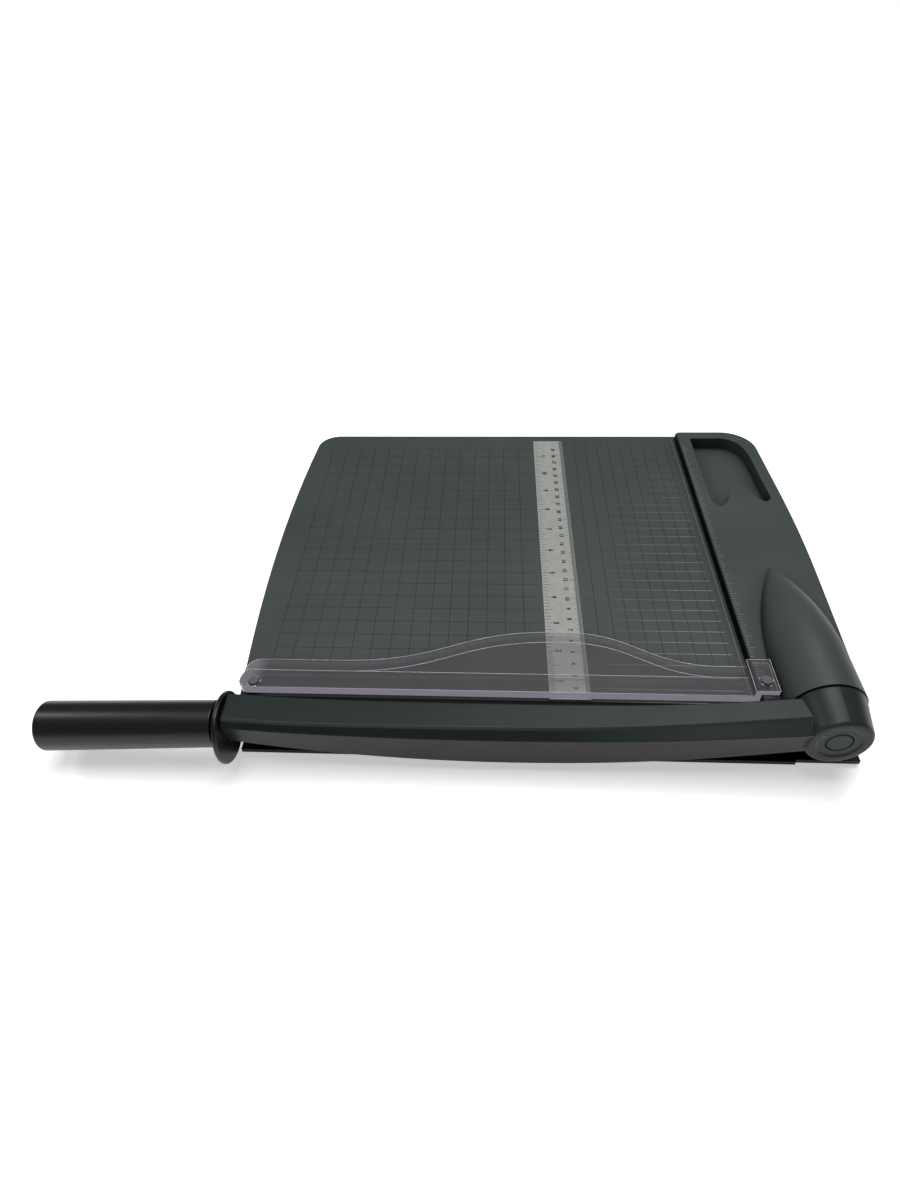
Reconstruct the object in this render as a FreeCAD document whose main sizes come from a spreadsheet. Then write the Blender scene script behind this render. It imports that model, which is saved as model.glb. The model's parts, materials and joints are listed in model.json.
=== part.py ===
"""Guillotine paper cutter, modelled in millimetres.

Row frame: X runs from the back of the table towards the lever, Y runs along the
cut towards the pivot, Z is up, and the origin is the middle of the footprint on
the desk.  Bodies that turn about the pivot are drawn around their own X axis and
carry a Placement on the pivot line.
"""
import FreeCAD, Part
import Sketcher
import math
import os
from FreeCAD import Placement, Rotation, Vector

doc = FreeCAD.newDocument("PaperCutter")
sheet = doc.addObject("Spreadsheet::Sheet", "Sizes")

SIZES = {
    # reference lines
    "cut_x": 139.25,            # shear plane between the two blades
    "stop_y": 183.5,            # paper stop, the inner wall of the ledge
    "table_z": 32.0,            # table top above the desk
    "foot_height": 2.0,         # gap under the skirt
    # base outline, measured from the shear plane and from the paper stop
    "table_depth": 313.5,
    "left_front": 318.1,
    "left_knee": 330.7,
    "left_back": 317.9,
    "left_knee_depth": 164.3,
    "left_knee_round": 1560.0,
    "left_corner_round": 18.5,
    "right_front": 62.0,
    "right_knee": 69.9,
    "right_back": 65.0,
    "right_knee_depth": 170.0,
    "right_knee_round": 1200.0,
    "back_corner_round": 28.0,
    "front_corner_round": 3.0,
    "rim_round": 1.6,
    "shell_wall": 3.0,
    "table_thickness": 3.5,
    "rib_thickness": 2.0,
    "rib_depth": 12.0,
    "rib_pitch": 62.0,
    "boss_radius": 4.5,
    # plinth under the lever
    "plinth_reach": 12.0,
    "plinth_thickness": 3.0,
    "plinth_step": 1.5,
    "plinth_step_past_stop": 23.6,
    # bottom cover, feet and their screws
    "cover_gap": 0.3,
    "foot_radius": 9.0,
    "foot_inset": 24.0,
    "foot_seat": 0.8,
    "foot_gap": 0.2,
    "small_screw_radius": 1.5,
    "small_screw_head": 3.0,
    "small_screw_head_height": 1.8,
    "small_screw_length": 10.0,
    "screw_gap": 0.1,
    # ledge with its pocket
    "ledge_height": 7.0,
    "ledge_inset": 1.0,
    "ledge_round": 2.2,
    "ledge_back_inset": 4.0,
    "pocket_depth": 10.5,
    "pocket_floor": 1.5,
    "pocket_near": 197.0,
    "pocket_far": 298.0,
    "pocket_side": 10.6,
    "pocket_width": 47.4,
    "tub_wall": 1.8,
    "tub_corner": 8.0,
    "tub_gap": 0.4,
    # ruler let into the table
    "ruler_from_stop": 100.1,
    "ruler_width": 25.4,
    "ruler_start": 10.8,
    "ruler_end": 304.0,
    "ruler_thickness": 1.0,
    "ruler_recess": 0.8,
    "ruler_gap": 0.1,
    # blades
    "blade_thickness": 2.0,
    "blade_gap": 0.1,
    "fixed_blade_height": 18.0,
    "fixed_blade_left": 313.0,
    "fixed_blade_right": 4.0,
    "moving_blade_left": 315.0,
    "moving_blade_right": 3.0,
    "moving_blade_top": 5.0,
    "moving_blade_sag": 25.0,
    "moving_blade_left_sag": 9.0,
    "moving_blade_right_sag": 6.0,
    "blade_bevel": 1.2,
    "blade_screw_radius": 2.0,
    "blade_screw_head": 3.8,
    "blade_screw_length": 9.0,
    "blade_screw_pitch": 68.0,
    "fixed_screw_drop": 9.0,
    "moving_screw_drop": 3.0,
    # pivot
    "pivot_past_stop": 33.6,
    "pivot_above_table": 9.0,
    "axle_radius": 4.0,
    "axle_gap": 0.05,
    "axle_head_radius": 6.5,
    "axle_head_height": 4.0,
    "axle_head_gap": 0.1,
    "axle_tail": 26.0,
    "bushing_wall": 2.0,
    "spacer_radius": 8.0,
    "bracket_thickness": 4.0,
    "bracket_half_width": 17.0,
    "bracket_top_radius": 14.0,
    "bracket_drop": 34.0,
    "bracket_foot": 20.0,
    "bracket_screw_drop": 22.0,
    "disc_spring_radius": 8.0,
    "disc_spring_thickness": 0.9,
    "disc_spring_height": 1.5,
    "disc_spring_count": 4.0,
    "washer_radius": 8.0,
    "washer_thickness": 1.6,
    "nut_width": 13.0,
    "nut_height": 6.5,
    # hinge housing
    "housing_radius": 22.8,
    "housing_length": 124.0,
    "housing_barrel": 30.0,
    "housing_tip": 0.6,
    "housing_front": 0.4,
    "housing_wall": 2.2,
    "window_length": 42.0,
    "window_half_width": 18.4,
    "housing_boss_radius": 3.5,
    # lever
    "hub_back": 0.6,
    "hub_front": 24.0,
    "hub_back_radius": 22.0,
    "hub_front_radius": 18.3,
    "hub_round": 2.4,
    "hub_seat_depth": 8.0,
    "hub_dish_radius": 13.2,
    "hub_dish_depth": 0.8,
    "cap_radius": 7.0,
    "cap_gap": 0.25,
    "cap_back_gap": 0.2,
    "arm_back": 2.0,
    "arm_shoulder_drop": 0.4,
    "arm_edge": 1.8,
    "arm_ridge": 24.0,
    "arm_toe": 21.0,
    # hand guard and grip
    "grip_axis_out": 13.0,
    "grip_tilt": 3.06,
    "grip_start_from_stop": 325.3,
    "grip_start_above_table": 0.79,
    "grip_length": 110.1,
    "grip_inner_radius": 14.2,
    "grip_outer_radius": 15.3,
    "grip_inner_round": 0.9,
    "grip_end_round": 2.4,
    "guard_disc_radius": 22.0,
    "guard_disc_thickness": 3.0,
    "guard_disc_offset": 3.7,
    "guard_disc_round": 1.2,
    "neck_radius": 9.0,
    "tang_radius": 5.0,
    "tang_gap": 0.1,
    "tang_depth": 24.0,
    "guard_disc_gap": 0.35,
    # clear guard over the cutting line
    "lip_back": 10.0,
    "deck_back": 24.0,
    "deck_above_table": 8.0,
    "guard_wall": 2.2,
    "lip_wall": 1.6,
    "hem_above_table": 4.3,
    "hem_thickness": 2.0,
    "guard_travel": 2.0,
    "guard_rest_gap": 0.3,
    "hem_back": 36.0,
    "wave_back": 63.7,
    "wave_crest": 116.4,
    "wave_left": 142.0,
    "wave_right": 100.0,
    "guard_left": 318.1,
    "guard_right": 2.4,
    "hem_border": 9.5,
    "hem_rise": 0.5,
    "ear_round": 9.5,
    "deck_round": 10.0,
    "ear_front_round": 5.0,
    "block_back": 35.0,
    "block_start": 3.6,
    "block_past_stop": 9.6,
    "block_top_above_ledge": 5.5,
    # guard posts and springs
    "left_post_back": 14.4,
    "left_post_from_stop": 308.9,
    "right_post_back": 18.0,
    "right_post_past_stop": 3.2,
    "post_radius": 1.6,
    "post_gap": 0.08,
    "post_head_radius": 3.4,
    "post_head_height": 1.4,
    "post_head_gap": 0.1,
    "post_depth": 8.0,
    "spring_radius": 2.5,
    "spring_wire": 0.35,
    "spring_turns": 3.5,
    "spring_seat_depth": 2.0,
    "spring_seat_gap": 0.3,
}

# Stations of the lever from the grip end to the hub: place along the cut measured back
# from the pivot, height of its top, reach of its shoulder out from the cut, then the
# heights of its ridge and belly. Heights are above the table.
STATION_WORDS = ("place", "top", "shoulder", "ridge", "belly")
ARM_STATIONS = {
    "grip_end": (352.5, 15.9, 21.4, 11.0, -4.6),
    "left_bend": (291.0, 12.0, 21.0, 6.5, -15.0),
    "left_span": (231.0, 10.8, 20.2, 4.6, -20.4),
    "right_span": (154.0, 11.1, 19.6, 5.0, -20.9),
    "right_bend": (78.0, 14.3, 17.4, 9.4, -13.9),
    "near_hub": (36.0, 19.0, 16.6, 13.8, -6.6),
    "hub_end": (9.5, 22.4, 16.2, 16.6, -1.5),
}


class Size:
    """A length that knows both its value and the spreadsheet expression behind it."""

    def __init__(self, value, text):
        self.value = value
        self.text = text

    @staticmethod
    def of(other):
        return other if isinstance(other, Size) else Size(float(other), repr(float(other)))

    def _with(self, other, sign, value):
        return Size(value, "(%s %s %s)" % (self.text, sign, Size.of(other).text))

    def __add__(self, other):
        return self._with(other, "+", self.value + Size.of(other).value)

    def __sub__(self, other):
        return self._with(other, "-", self.value - Size.of(other).value)

    def __mul__(self, other):
        return self._with(other, "*", self.value * Size.of(other).value)

    def __truediv__(self, other):
        return self._with(other, "/", self.value / Size.of(other).value)

    def __neg__(self):
        return Size(0.0, "0") - self

    def __float__(self):
        return self.value


class Sizes:
    """Reads the aliased cells of the sheet as Size values."""

    def __getattr__(self, name):
        return Size(float(sheet.get(name)), "Sizes." + name)


def fill_sheet():
    cells = dict(SIZES)
    for station, numbers in ARM_STATIONS.items():
        for word, number in zip(STATION_WORDS, numbers):
            cells[station + "_" + word] = number
    for row, (name, number) in enumerate(cells.items(), start=1):
        sheet.set("A%d" % row, name)
        sheet.set("B%d" % row, str(number))
        sheet.setAlias("B%d" % row, name)
    doc.recompute()


fill_sheet()
S = Sizes()

# Lines and planes that several pieces share
skirt_z = S.foot_height
ledge_z = S.table_z + S.ledge_height
pivot_y = S.stop_y + S.pivot_past_stop
pivot_z = S.table_z + S.pivot_above_table
wall_x = S.cut_x - S.blade_thickness
back_x = S.cut_x - S.table_depth
bearing_radius = S.axle_radius + S.axle_gap
bushing_radius = bearing_radius + S.bushing_wall


# ---------------------------------------------------------------- drawing helpers

def bind(thing, prop, length):
    """Tie a property to the sheet."""
    thing.setExpression(prop, Size.of(length).text)


def new_body(name, at_pivot=False):
    body = doc.addObject("PartDesign::Body", name)
    body.Label = name
    if at_pivot:
        place(body, S.cut_x, pivot_y, pivot_z)
    return body


def place(thing, x, y, z):
    thing.Placement = Placement(Vector(float(x), float(y), float(z)), Rotation())
    for axis, length in (("x", x), ("y", y), ("z", z)):
        bind(thing, "Placement.Base." + axis, length)


def new_sketch(body, role, offset=None):
    """A sketch on one of the body's own origin planes, moved along its normal."""
    plane = [f for f in body.Origin.OriginFeatures if f.Role == role][0]
    sketch = body.newObject("Sketcher::SketchObject", "Sketch")
    sketch.AttachmentSupport = [(plane, "")]
    sketch.MapMode = "FlatFace"
    if offset is not None:
        sketch.AttachmentOffset = Placement(Vector(0, 0, float(offset)), Rotation())
        bind(sketch, "AttachmentOffset.Base.z", offset)
    return sketch


def pin_point(sketch, geometry, point, x, y):
    """Hold a sketch point at x, y with two driving distances from the sketch origin."""
    for kind, length in (("DistanceX", Size.of(x)), ("DistanceY", Size.of(y))):
        index = sketch.addConstraint(
            Sketcher.Constraint(kind, -1, 1, geometry, point, length.value))
        sketch.setExpression("Constraints[%d]" % index, length.text)


def draw_polygon(sketch, corners):
    """A closed outline whose corners are all tied to the sheet."""
    first = sketch.GeometryCount
    count = len(corners)
    points = [Vector(float(x), float(y), 0) for x, y in corners]
    for k in range(count):
        sketch.addGeometry(Part.LineSegment(points[k], points[(k + 1) % count]))
    for k in range(count):
        sketch.addConstraint(
            Sketcher.Constraint("Coincident", first + k, 2, first + (k + 1) % count, 1))
    for k, (x, y) in enumerate(corners):
        pin_point(sketch, first + k, 1, x, y)


def draw_circle(sketch, x, y, radius):
    index = sketch.addGeometry(
        Part.Circle(Vector(float(x), float(y), 0), Vector(0, 0, 1), float(radius)))
    pin_point(sketch, index, 3, x, y)
    constraint = sketch.addConstraint(Sketcher.Constraint("Radius", index, float(radius)))
    bind(sketch, "Constraints[%d]" % constraint, radius)


def rectangle(x0, y0, x1, y1):
    return [(x0, y0), (x1, y0), (x1, y1), (x0, y1)]


def polygon_sketch(body, role, corners, offset=None):
    sketch = new_sketch(body, role, offset)
    draw_polygon(sketch, corners)
    return sketch


def rounded_sketch(body, role, corners, radii, offset=None):
    """A closed outline with corners rounded by tangent arcs, each no longer than its sides."""
    sketch = new_sketch(body, role, offset)
    points = [Vector(float(x), float(y), 0) for x, y in corners]
    count = len(points)
    sides = [points[(k + 1) % count] - points[k] for k in range(count)]
    halves = [(-sides[k - 1]).getAngle(sides[k]) / 2 for k in range(count)]
    reaches = [float(radius) / math.tan(half) for radius, half in zip(radii, halves)]
    for k, side in enumerate(sides):
        share = side.Length / (reaches[k] + reaches[(k + 1) % count])
        if share < 1:
            reaches[k] *= share * 0.99
            reaches[(k + 1) % count] *= share * 0.99
    ends = []
    for k, reach in enumerate(reaches):
        to_last = (-sides[k - 1]).normalize()
        to_next = Vector(sides[k]).normalize()
        radius = reach * math.tan(halves[k])
        inwards = (to_last + to_next).normalize()
        middle = points[k] + inwards * (radius / math.sin(halves[k]) - radius)
        ends.append((points[k] + to_last * reach, middle, points[k] + to_next * reach))
    for k, (start, middle, end) in enumerate(ends):
        sketch.addGeometry(Part.Arc(start, middle, end))
        sketch.addGeometry(Part.LineSegment(end, ends[(k + 1) % len(ends)][0]))
    return sketch


def circle_sketch(body, role, circles, offset=None):
    sketch = new_sketch(body, role, offset)
    for x, y, radius in circles:
        draw_circle(sketch, x, y, radius)
    return sketch


def extrude(body, kind, sketch, length, backwards=False):
    """Pad or Pocket.  A pad runs along the sketch normal and a pocket against it."""
    feature = body.newObject("PartDesign::" + kind, kind)
    feature.Profile = sketch
    feature.Length = float(length)
    bind(feature, "Length", length)
    feature.Reversed = backwards
    doc.recompute()
    return feature


def pad(body, sketch, length, backwards=False):
    return extrude(body, "Pad", sketch, length, backwards)


def pocket(body, sketch, length, backwards=False):
    before = body.Shape.Volume
    feature = extrude(body, "Pocket", sketch, length, backwards)
    if body.Shape.Volume > before - 0.01:
        raise RuntimeError("a pocket cuts nothing in " + body.Label)
    return feature


def revolve(body, sketch, axis="H_Axis"):
    feature = body.newObject("PartDesign::Revolution", "Revolution")
    feature.Profile = sketch
    feature.ReferenceAxis = (sketch, [axis])
    feature.Angle = 360
    doc.recompute()
    return feature


def dress(body, kind, prop, wanted, length):
    """Fillet or Chamfer on the edges of the body's tip that wanted() picks."""
    base = body.Tip
    names = ["Edge%d" % (k + 1) for k, edge in enumerate(base.Shape.Edges) if wanted(edge)]
    if not names:
        raise RuntimeError("no edge to dress in " + body.Label)
    feature = body.newObject("PartDesign::" + kind, kind)
    feature.Base = (base, names)
    setattr(feature, prop, float(length))
    bind(feature, prop, length)
    doc.recompute()
    return feature


def fillet(body, wanted, radius):
    return dress(body, "Fillet", "Radius", wanted, radius)


def chamfer(body, wanted, length):
    return dress(body, "Chamfer", "Size", wanted, length)


def near(value, target, slack=0.05):
    return abs(value - float(target)) < slack


def samples(edge):
    """Start, middle and end of an edge."""
    first, last = edge.FirstParameter, edge.LastParameter
    return [edge.valueAt(first), edge.valueAt((first + last) / 2), edge.valueAt(last)]


def all_at(edge, axis, place, slack=0.02):
    """True where the whole edge lies at one x, y or z."""
    return all(near(getattr(point, axis), place, slack) for point in samples(edge))


def upright_at(x, y):
    """Picks the vertical edge at one corner of an outline."""
    def wanted(edge):
        return edge.Length > 1 and all_at(edge, "x", x) and all_at(edge, "y", y)
    return wanted


def level_edges(z):
    """Picks every edge that lies in one horizontal plane."""
    def wanted(edge):
        return all_at(edge, "z", z)
    return wanted


def solid_feature(name, shapes):
    """A group of like fasteners, each its own solid."""
    feature = doc.addObject("Part::Feature", name)
    feature.Label = name
    feature.Shape = Part.makeCompound(shapes) if len(shapes) > 1 else shapes[0]
    feature.Placement = Placement()
    return feature


# ---------------------------------------------------------------- base

def base_corners(inset, front):
    """Corners of the base outline, moved in by inset, with the front edge at front."""
    return [
        (front, S.stop_y - S.left_front + inset),
        (front, S.stop_y + S.right_front - inset),
        (S.cut_x - S.right_knee_depth, S.stop_y + S.right_knee - inset),
        (back_x + inset, S.stop_y + S.right_back - inset),
        (back_x + inset, S.stop_y - S.left_back + inset),
        (S.cut_x - S.left_knee_depth, S.stop_y - S.left_knee + inset),
    ]


def base_rounds(inset):
    """Corner radii that go with base_corners."""
    front_round = S.front_corner_round - inset * 0.6
    return [
        front_round,
        front_round,
        S.right_knee_round - inset,
        S.back_corner_round - inset,
        S.left_corner_round - inset,
        S.left_knee_round - inset,
    ]


def base_block(body, inset, front, bottom, height):
    """The rounded base outline as a solid."""
    outline = rounded_sketch(body, "XY_Plane", base_corners(inset, front),
                             base_rounds(inset), bottom)
    pad(body, outline, height)


def cover_screw_places():
    """Screw bosses of the bottom cover: two rows of three, all under the table."""
    left = S.stop_y - S.left_front + S.foot_inset * 2
    right = S.stop_y - S.foot_inset / 2
    rows = (back_x + S.foot_inset * 2, wall_x - S.foot_inset)
    return [(x, y) for x in rows for y in (left, (left + right) / 2, right)]


def ledge_screw_places():
    near_x = S.cut_x - S.pocket_near + S.boss_radius * 4
    return [
        (near_x, S.stop_y + S.boss_radius * 2),
        (near_x, S.stop_y + S.right_front - S.boss_radius * 2),
        (near_x + S.rib_pitch / 2, S.stop_y + S.boss_radius * 2),
        (back_x + S.boss_radius * 2.2, S.stop_y + S.boss_radius),
    ]


def housing_screw_places():
    boss_x = S.cut_x - S.window_length - S.housing_boss_radius * 2.5
    return [(boss_x, pivot_y), (boss_x - S.rib_pitch * 0.6, pivot_y)]


def fixed_screw_places():
    middle = S.stop_y - (S.fixed_blade_left + S.fixed_blade_right) / 2
    height = S.table_z - S.fixed_screw_drop
    return [(middle + S.blade_screw_pitch * k, height) for k in (-2, -1, 0, 1, 2)]


def bracket_screw_places():
    reach = S.bracket_half_width - S.boss_radius
    height = pivot_z - S.bracket_screw_drop
    return [(pivot_y - reach, height), (pivot_y + reach, height)]


def foot_places():
    left = S.stop_y - S.left_front + S.foot_inset
    right = S.stop_y + S.right_front - S.foot_inset
    front = wall_x - S.foot_inset
    back = back_x + S.foot_inset
    return {
        "foot_front_left": (front, left),
        "foot_front_right": (front, right),
        "foot_rear_left": (back, left),
        "foot_rear_right": (back, right),
    }


def post_places():
    return {
        "left": (S.cut_x - S.left_post_back, S.stop_y - S.left_post_from_stop, S.table_z),
        "right": (S.cut_x - S.right_post_back, S.stop_y + S.right_post_past_stop, ledge_z),
    }


def window_corners():
    """Opening under the hinge housing for the bracket and the pivot stack."""
    return rectangle(S.cut_x - S.window_length, pivot_y - S.window_half_width,
                     wall_x - S.shell_wall, pivot_y + S.window_half_width)


def tub_corners(grow):
    """Outline of the pocket's tub, grown all round, with its far outer corner cut off."""
    far = S.cut_x - S.pocket_far - grow
    near_x = S.cut_x - S.pocket_near + grow
    low = S.stop_y + S.pocket_side - grow
    high = S.stop_y + S.pocket_side + S.pocket_width + grow
    return [
        (far, low),
        (near_x, low),
        (near_x, high),
        (far + S.tub_corner, high),
        (far, high - S.tub_corner),
    ]


def make_base_shell():
    body = new_body("base_shell")
    height = S.table_z - skirt_z
    base_block(body, Size.of(0), wall_x, skirt_z, height)
    fillet(body, level_edges(S.table_z), S.rim_round)

    hollow = rounded_sketch(body, "XY_Plane",
                            base_corners(S.shell_wall, wall_x - S.shell_wall),
                            base_rounds(S.shell_wall), skirt_z)
    pocket(body, hollow, height - S.table_thickness, backwards=True)
    notch = rectangle(wall_x - S.shell_wall - S.cover_gap, S.stop_y - S.left_front - 1,
                      wall_x + 1, S.stop_y + S.right_front + 1)
    pocket(body, polygon_sketch(body, "XY_Plane", notch, skirt_z), S.plinth_thickness,
           backwards=True)

    under_z = S.table_z - S.table_thickness
    left = S.stop_y - S.left_front + S.shell_wall / 2
    right = S.stop_y - S.boss_radius
    back = back_x + S.shell_wall / 2
    front = wall_x - S.shell_wall / 2
    half = S.rib_thickness / 2
    long_ribs = new_sketch(body, "XY_Plane", under_z - S.rib_depth)
    for k in range(5):
        rib_y = right - half - S.rib_pitch * k
        draw_polygon(long_ribs, rectangle(back, rib_y - half, front, rib_y + half))
    pad(body, long_ribs, S.rib_depth + half)
    cross_ribs = new_sketch(body, "XY_Plane", under_z - S.rib_depth)
    for k in range(1, 5):
        rib_x = front - S.rib_pitch * k
        draw_polygon(cross_ribs, rectangle(rib_x - half, left, rib_x + half, right))
    pad(body, cross_ribs, S.rib_depth + half)

    cover_top = skirt_z + S.plinth_thickness
    bosses = [(x, y, S.boss_radius) for x, y in cover_screw_places()]
    pad(body, circle_sketch(body, "XY_Plane", bosses, cover_top), under_z - cover_top + half)
    holes = [(x, y, S.small_screw_radius + S.screw_gap) for x, y in cover_screw_places()]
    pocket(body, circle_sketch(body, "XY_Plane", holes, cover_top),
           S.small_screw_length, backwards=True)

    openings = new_sketch(body, "XY_Plane", S.table_z)
    draw_polygon(openings, window_corners())
    draw_polygon(openings, tub_corners(S.tub_wall + S.tub_gap))
    for x, y in ledge_screw_places() + housing_screw_places():
        draw_circle(openings, x, y, S.small_screw_radius + S.screw_gap)
    pocket(body, openings, S.table_thickness)

    recess = rectangle(S.cut_x - S.ruler_end - S.ruler_gap,
                       S.stop_y - S.ruler_from_stop - S.ruler_width - S.ruler_gap,
                       wall_x + S.ruler_gap, S.stop_y - S.ruler_from_stop + S.ruler_gap)
    pocket(body, polygon_sketch(body, "XY_Plane", recess, S.table_z), S.ruler_recess)

    x, y, z = post_places()["left"]
    seat = circle_sketch(body, "XY_Plane", [(x, y, S.spring_radius + S.spring_seat_gap)], z)
    pocket(body, seat, S.spring_seat_depth)
    stem = circle_sketch(body, "XY_Plane", [(x, y, S.boss_radius)], z - S.post_depth - 1)
    pad(body, stem, S.post_depth + 1 - S.spring_seat_depth)
    bore = circle_sketch(body, "XY_Plane", [(x, y, S.post_radius + S.post_gap / 2)], z)
    pocket(body, bore, S.post_depth)

    seats = [(y, z, S.blade_screw_radius + S.screw_gap) for y, z in fixed_screw_places()]
    pocket(body, circle_sketch(body, "YZ_Plane", seats, wall_x), S.blade_screw_length)
    countersinks(body, bracket_screw_places(), wall_x, S.shell_wall, True)
    return body


def make_bottom_cover():
    """Bottom cover: a plate inside the skirt whose front tongue is the plinth."""
    body = new_body("bottom_cover")
    inset = S.shell_wall + S.cover_gap
    joint_x = wall_x - inset
    outline = rounded_sketch(body, "XY_Plane", base_corners(inset, joint_x),
                             base_rounds(inset), skirt_z)
    pad(body, outline, S.plinth_thickness)
    left = S.stop_y - S.left_front
    right = S.stop_y + S.right_front
    front = S.cut_x + S.plinth_reach
    tongue = polygon_sketch(body, "XY_Plane", [
        (joint_x - S.foot_radius, left + inset * 2),
        (joint_x + S.cover_gap, left + inset * 2),
        (joint_x + S.cover_gap, left),
        (front, left),
        (front, S.stop_y + S.plinth_step_past_stop),
        (front - S.plinth_step, S.stop_y + S.plinth_step_past_stop),
        (front - S.plinth_step, right),
        (joint_x + S.cover_gap, right),
        (joint_x + S.cover_gap, right - inset * 2),
        (joint_x - S.foot_radius, right - inset * 2),
    ], skirt_z)
    pad(body, tongue, S.plinth_thickness)
    seats = [(x, y, S.foot_radius + S.foot_gap) for x, y in foot_places().values()]
    pocket(body, circle_sketch(body, "XY_Plane", seats, skirt_z), S.foot_seat, backwards=True)
    heads = [(x, y, S.small_screw_head + S.screw_gap * 2) for x, y in cover_screw_places()]
    pocket(body, circle_sketch(body, "XY_Plane", heads, skirt_z), S.small_screw_head_height,
           backwards=True)
    holes = [(x, y, S.small_screw_radius + S.screw_gap) for x, y in cover_screw_places()]
    pocket(body, circle_sketch(body, "XY_Plane", holes, skirt_z), S.plinth_thickness,
           backwards=True)
    return body


def make_feet():
    """Rubber feet in their seats, their bottoms on the desk."""
    height = skirt_z + S.foot_seat
    for name, (x, y) in foot_places().items():
        body = new_body(name)
        pad(body, circle_sketch(body, "XY_Plane", [(x, y, S.foot_radius)]), height)
        chamfer(body, level_edges(0), S.foot_seat)


def pan_screw(x, y, z):
    """Pan head screw with its head below z, its shank up through z."""
    head = float(S.small_screw_head)
    rise = float(S.small_screw_head_height)
    base = Vector(float(x), float(y), float(z) - rise)
    body = Part.makeCylinder(head, rise, base)
    shank = Part.makeCylinder(float(S.small_screw_radius),
                              float(S.small_screw_length) - rise + 0.5,
                              base + Vector(0, 0, rise - 0.5))
    return body.fuse(shank).removeSplitter()


def make_screws():
    seat_z = skirt_z + S.small_screw_head_height
    solid_feature("cover_screws", [pan_screw(x, y, seat_z) for x, y in cover_screw_places()])
    under_z = S.table_z - S.table_thickness
    solid_feature("ledge_screws", [pan_screw(x, y, under_z) for x, y in ledge_screw_places()])
    solid_feature("housing_screws", [pan_screw(x, y, under_z) for x, y in housing_screw_places()])


def make_ledge():
    body = new_body("head_ledge")
    corners = base_corners(S.ledge_inset, wall_x)
    outline = [
        (wall_x, S.stop_y),
        (wall_x, corners[1][1]),
        corners[2],
        (corners[3][0] + S.ledge_back_inset - S.ledge_inset, corners[3][1]),
        (corners[3][0] + S.ledge_back_inset - S.ledge_inset, S.stop_y),
    ]
    rounds = [S.ledge_inset, S.front_corner_round, S.right_knee_round,
              S.back_corner_round - S.ledge_inset, S.front_corner_round]
    pad(body, rounded_sketch(body, "XY_Plane", outline, rounds, S.table_z), S.ledge_height)

    def rim(edge):
        """Top edges except the crisp one over the paper stop and the covered front."""
        stop_side = all_at(edge, "y", S.stop_y)
        front_side = all_at(edge, "x", wall_x)
        return all_at(edge, "z", ledge_z) and not stop_side and not front_side
    fillet(body, rim, S.ledge_round)

    floor_z = ledge_z - S.pocket_depth
    tub_bottom = floor_z - S.pocket_floor
    pad(body, polygon_sketch(body, "XY_Plane", tub_corners(S.tub_wall), tub_bottom),
        S.table_z - tub_bottom + S.pocket_floor)
    pocket(body, pocket_sketch(body, ledge_z), S.pocket_depth)

    window = [(x, y) for x, y in window_corners()]
    window[1] = (wall_x + 1, window[1][1])
    window[2] = (wall_x + 1, window[2][1])
    pocket(body, polygon_sketch(body, "XY_Plane", window, ledge_z), S.ledge_height)
    pilots = [(x, y, S.small_screw_radius + S.screw_gap) for x, y in ledge_screw_places()]
    pocket(body, circle_sketch(body, "XY_Plane", pilots, S.table_z), S.ledge_height - 1.5,
           backwards=True)
    throughs = [(x, y, S.small_screw_radius + S.screw_gap) for x, y in housing_screw_places()]
    pocket(body, circle_sketch(body, "XY_Plane", throughs, ledge_z), S.ledge_height)

    x, y, z = post_places()["right"]
    seat = circle_sketch(body, "XY_Plane", [(x, y, S.spring_radius + S.spring_seat_gap)], z)
    pocket(body, seat, S.spring_seat_depth * 2)
    bore = circle_sketch(body, "XY_Plane", [(x, y, S.post_radius + S.post_gap / 2)], z)
    pocket(body, bore, S.ledge_height - 0.5)
    return body


def pocket_sketch(body, z):
    """Outline of the pocket: two straight walls, then a curve with two lobes at its near end.

    Each point of the curve is a share of the pocket's length and of its width."""
    shares = [(0, 0.45), (0.03, 0.72), (0.10, 0.85), (0.19, 0.91), (0.55, 0.96), (0.82, 0.99),
              (0.89, 0.96), (0.91, 0.88), (0.87, 0.78), (0.80, 0.71), (0.72, 0.62),
              (0.70, 0.53), (0.74, 0.42), (0.84, 0.32), (0.95, 0.21), (0.98, 0.12),
              (0.95, 0.05), (0.87, 0)]
    sketch = new_sketch(body, "XY_Plane", z)
    corner = Vector(float(S.cut_x - S.pocket_far), float(S.stop_y + S.pocket_side), 0)
    length = float(S.pocket_far - S.pocket_near)
    width = float(S.pocket_width)
    points = [corner + Vector(length * along, width * across, 0) for along, across in shares]
    curve = Part.BSplineCurve()
    curve.interpolate(Points=points)
    sketch.addGeometry(Part.LineSegment(corner, points[0]))
    sketch.addGeometry(curve)
    sketch.addGeometry(Part.LineSegment(points[-1], corner))
    return sketch


def ogive_swing(radius, nose):
    """Radius of the arc that leaves a barrel tangentially and ends at the blunt tip."""
    drop = float(radius - S.housing_tip)
    return (float(nose) ** 2 + drop ** 2) / (2 * drop)


def ogive_height(reach):
    """Outer radius of the hinge housing at a distance behind its front face."""
    swing = ogive_swing(S.housing_radius, S.housing_length - S.housing_barrel)
    past = max(float(reach - S.housing_barrel), 0)
    return S.housing_radius - (swing - math.sqrt(swing ** 2 - past ** 2))


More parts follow.
